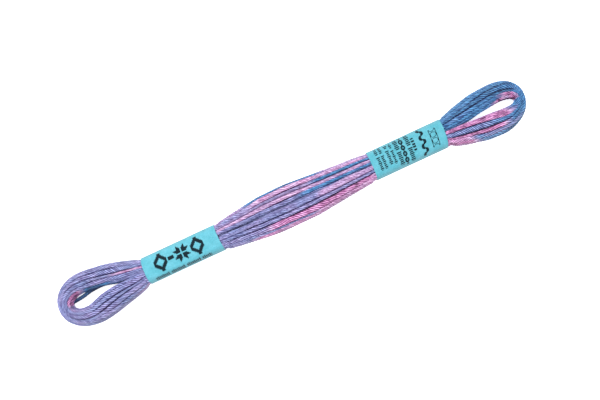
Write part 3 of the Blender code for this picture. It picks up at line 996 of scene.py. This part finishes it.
def floss_material():
    """Mercerised cotton: six soft-shining strands, their dye uneven. Painted shade darkens
    the colour in the furrows and on flanks that get little light; painted light brightens the rest.
    """
    material = bpy.data.materials.new("floss")
    nodes = Nodes(material)
    fibre = nodes.add("UVMap", {"uv_map": "fibre"}).outputs["UV"]
    split = nodes.add("SeparateXYZ", Vector=fibre)
    along, around = split.outputs[0], nodes.maths("MULTIPLY", split.outputs[1], TURN)
    # Round the thread, so that a pattern meets itself; strands run along Z.
    wrapped = nodes.add(
        "CombineXYZ",
        X=nodes.maths("MULTIPLY", nodes.maths("COSINE", around), WRAP),
        Y=nodes.maths("MULTIPLY", nodes.maths("SINE", around), WRAP),
        Z=nodes.maths("MULTIPLY", along, WRAP_ALONG),
    ).outputs[0]
    coordinates = nodes.add("TexCoord").outputs["Object"]

    dye = nodes.attribute("dye")
    blotches = nodes.noise(coordinates, scale=260.0, detail=3.0)
    dye = nodes.maths("ADD", dye, nodes.spread(blotches, -0.05, 0.05))
    streaks = nodes.noise(wrapped, scale=1.6, detail=4.0, roughness=0.6)
    dye = nodes.maths("ADD", dye, nodes.spread(streaks, -0.02, 0.02))
    dyed = dye_colour(nodes, dye)

    # Each strand takes the light in its own way, and changes slowly along its length.
    strand = nodes.maths("FLOOR", nodes.maths("MULTIPLY", split.outputs[1], STRANDS))
    across_hank = nodes.add("SeparateXYZ", Vector=coordinates).outputs[1]
    tone = nodes.noise(
        nodes.add(
            "CombineXYZ",
            X=nodes.maths("MULTIPLY", strand, STRAND_STEP),
            Y=nodes.maths("MULTIPLY", along, STRAND_ALONG),
            Z=nodes.maths("MULTIPLY", across_hank, STRAND_ACROSS),
        ).outputs[0],
        scale=1.0,
    )

    # Painted shade: a darker, richer colour in the furrows between strands and between turns, and
    # on flanks that get little light.
    furrow = nodes.attribute("furrow")
    rise = nodes.attribute("rise")
    depth = nodes.ranged(rise, SHADED, LIT, 0.0, 1.0)
    light = nodes.maths("MULTIPLY", depth, nodes.ranged(furrow, 0.0, 0.85, 1.0, FURROW_LIGHT))
    light = nodes.maths("MULTIPLY", light, nodes.ranged(streaks, 0.25, 0.75, 0.56, 1.32))
    light = nodes.maths("MULTIPLY", light, nodes.spread(tone, 0.62, 1.34))
    shaded_dye = nodes.mixed(1.0, dyed, dyed, "MULTIPLY")
    shaded_dye = nodes.mixed(1.0, shaded_dye, FURROW_SHADE_TINT, "MULTIPLY")
    colour = nodes.mixed(light, shaded_dye, dyed)
    # The painted shade on upright sides is kept off the inside of the hank.
    off_axis = nodes.maths("ABSOLUTE", across_hank)
    upright_shade_share = nodes.ranged(off_axis, UPRIGHT_SHADE_START, UPRIGHT_SHADE_END, 0.0, FLOSS_UPRIGHT_SHADE)
    colour = shade_upright_sides(nodes, colour, nodes.maths("MULTIPLY", depth, upright_shade_share))
    # Painted light and shade: the colour is darkened where little light reaches and brightened
    # where most does.
    shade = nodes.ranged(light, 0.0, MOST_LIGHT, DARKEST, BRIGHTEST)
    grey = nodes.add("CombineColor", Red=shade, Green=shade, Blue=shade).outputs[0]
    nodes.put(nodes.shader.inputs["Base Color"], nodes.mixed(1.0, colour, grey, "MULTIPLY"))

    # Each strand is two plies, which lean the other way round it.
    ply_round = nodes.maths("MULTIPLY", around, STRANDS * 2)
    ply_along = nodes.maths("MULTIPLY", along, TURN / PLY_PITCH)
    plies = nodes.maths("SINE", nodes.maths("ADD", ply_round, ply_along))
    hairs = nodes.noise(wrapped, scale=7.0, detail=3.0, roughness=0.6)
    height = nodes.maths("ADD", nodes.maths("MULTIPLY", plies, 0.35), hairs)
    bump = nodes.add("Bump", Strength=0.35, Distance=0.00008, Height=height)
    nodes.put(nodes.shader.inputs["Normal"], bump.outputs[0])
    nodes.put(nodes.shader.inputs["Roughness"], nodes.spread(streaks, 0.55, 0.7))
    nodes.shader.inputs["Specular IOR Level"].default_value = 0.3
    nodes.shader.inputs["Sheen Weight"].default_value = 0.06
    nodes.shader.inputs["Sheen Roughness"].default_value = 0.45
    return material


def paper_material(name, colour, mottle, roughness, specular=0.5):
    """Smooth coated paper: faint mottling of the colour, and a fine fibre tooth."""
    material = bpy.data.materials.new(name)
    nodes = Nodes(material)
    coordinates = nodes.add("TexCoord").outputs["Object"]
    cloud = nodes.noise(coordinates, scale=420.0, detail=4.0, roughness=0.6)
    grain = nodes.noise(coordinates, scale=3200.0, detail=3.0, roughness=0.6)
    light = nodes.spread(cloud, 1 - mottle / 2, 1 + mottle / 2)
    light = nodes.maths("MULTIPLY", light, nodes.spread(grain, 1 - mottle, 1 + mottle))
    warmth = nodes.maths("MULTIPLY", light, nodes.spread(cloud, 1 - mottle, 1 + mottle))
    tint = nodes.add("CombineColor", Red=warmth, Green=light, Blue=light).outputs[0]
    toned = nodes.mixed(1.0, linear(colour), tint, "MULTIPLY")
    # Painted shade greys and darkens the paper's upright sides.
    nodes.put(nodes.shader.inputs["Base Color"], shade_upright_sides(nodes, toned, PAPER_UPRIGHT_SHADE))
    rough = nodes.spread(cloud, roughness - 0.05, roughness + 0.08)
    nodes.put(nodes.shader.inputs["Roughness"], rough)
    bump = nodes.add("Bump", Strength=0.25, Distance=0.00004, Height=grain)
    nodes.put(nodes.shader.inputs["Normal"], bump.outputs[0])
    nodes.shader.inputs["Specular IOR Level"].default_value = specular
    return material


# ============ the studio
SKEIN_SLOPE = radians(24.9)  # how far the skein's axis climbs to the right in the picture
CAMERA_DISTANCE = 240.0
CAMERA_HEIGHT = radians(84.5)  # its angle above the floor
CAMERA_TARGET = (2.72, 0.0, 2.6)
LENS, SENSOR = 44.55, 36.0
WHITE = (1, 1, 1, 1)
FLOOR_SIZE = 3000.0
FLOOR_DROP = 0.02  # how far the floor lies below the skein
FLOOR_COLOUR = (0.93, 0.93, 0.93, 1)
FLOOR_GLOW = 0.85  # it shines a little, as a sheet lit from below does
WORLD_STRENGTH = 0.42
# Square lamps that point at the origin. power is in watts.
Lamp = namedtuple("Lamp", "name place size power")
LAMPS = (
    Lamp("key", (-120, 150, 370), 170, 1.9),
    Lamp("fill", (150, -210, 340), 200, 0.52),
)


def make_camera():
    back = Vector((0, -cos(CAMERA_HEIGHT), sin(CAMERA_HEIGHT)))
    roll = Quaternion((0, 0, 1), -SKEIN_SLOPE)
    data = bpy.data.cameras.new("camera")
    data.lens = LENS
    data.sensor_width = SENSOR
    data.clip_start = 0.01
    camera = bpy.data.objects.new("camera", data)
    camera.location = (Vector(CAMERA_TARGET) + back * CAMERA_DISTANCE) * MM
    camera.rotation_euler = ((-back).to_track_quat("-Z", "Y") @ roll).to_euler()
    bpy.context.scene.collection.objects.link(camera)
    bpy.context.scene.camera = camera


def make_floor():
    material = bpy.data.materials.new("floor")
    material.use_nodes = True
    shader = material.node_tree.nodes["Principled BSDF"]
    shader.inputs["Base Color"].default_value = FLOOR_COLOUR
    shader.inputs["Roughness"].default_value = 0.9
    shader.inputs["Emission Color"].default_value = WHITE
    shader.inputs["Emission Strength"].default_value = FLOOR_GLOW
    bpy.ops.mesh.primitive_plane_add(size=FLOOR_SIZE * MM, location=(0, 0, -FLOOR_DROP * MM))
    floor = bpy.context.object
    floor.name = "floor"
    floor.data.materials.append(material)


def make_lights():
    world = bpy.data.worlds.new("studio")
    world.use_nodes = True
    background = world.node_tree.nodes["Background"]
    background.inputs["Color"].default_value = WHITE
    background.inputs["Strength"].default_value = WORLD_STRENGTH
    bpy.context.scene.world = world
    for lamp in LAMPS:
        data = bpy.data.lights.new(lamp.name, "AREA")
        data.size = lamp.size * MM
        data.energy = lamp.power
        light = bpy.data.objects.new(lamp.name, data)
        light.location = Vector(lamp.place) * MM
        light.rotation_euler = (-Vector(lamp.place)).to_track_quat("-Z", "Y").to_euler()
        bpy.context.scene.collection.objects.link(light)


# ============ the skein
TURNS_A_PIECE = 3


def dress(piece, slot, *nodes):
    """Shows a piece in place of the solids that it stands for."""
    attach(piece, "root")
    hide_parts(*nodes)


def main():
    make_camera()
    make_floor()
    make_lights()
    bpy.context.scene.view_settings.view_transform = "Standard"

    floss = floss_material()
    for first in range(0, RIDGES, TURNS_A_PIECE):
        turns = [outer_turn(turn) for turn in range(first, first + TURNS_A_PIECE)]
        name = f"floss_turns_{first + 1}_to_{first + TURNS_A_PIECE}"
        dress(thread_object(name, turns, floss), "floss", "floss_hank")
    inside = [inner_turn(kind, turn) for kind in INNER_RINGS for turn in range(kind.turns)]
    dress(thread_object("floss_turns_inside", inside, floss), "floss", "floss_hank")
    dress(thread_object("floss_slipped_turn", [stray_turn()], floss), "floss", "floss_hank")

    paper = paper_material("band_paper", TURQUOISE, mottle=0.16, roughness=0.6, specular=0.15)
    ink = paper_material("band_ink", INK, mottle=0.15, roughness=0.7, specular=0.1)
    reverse = paper_material("band_paper_cut", CUT_PAPER, mottle=0.04, roughness=0.8)
    for name, band, printed in zip(("band_left", "band_right"), BANDS, (left_print, right_print)):
        made = make_band(name, band, printed, [paper, ink, reverse])
        dress(made, "band_paper", band.node)


main()
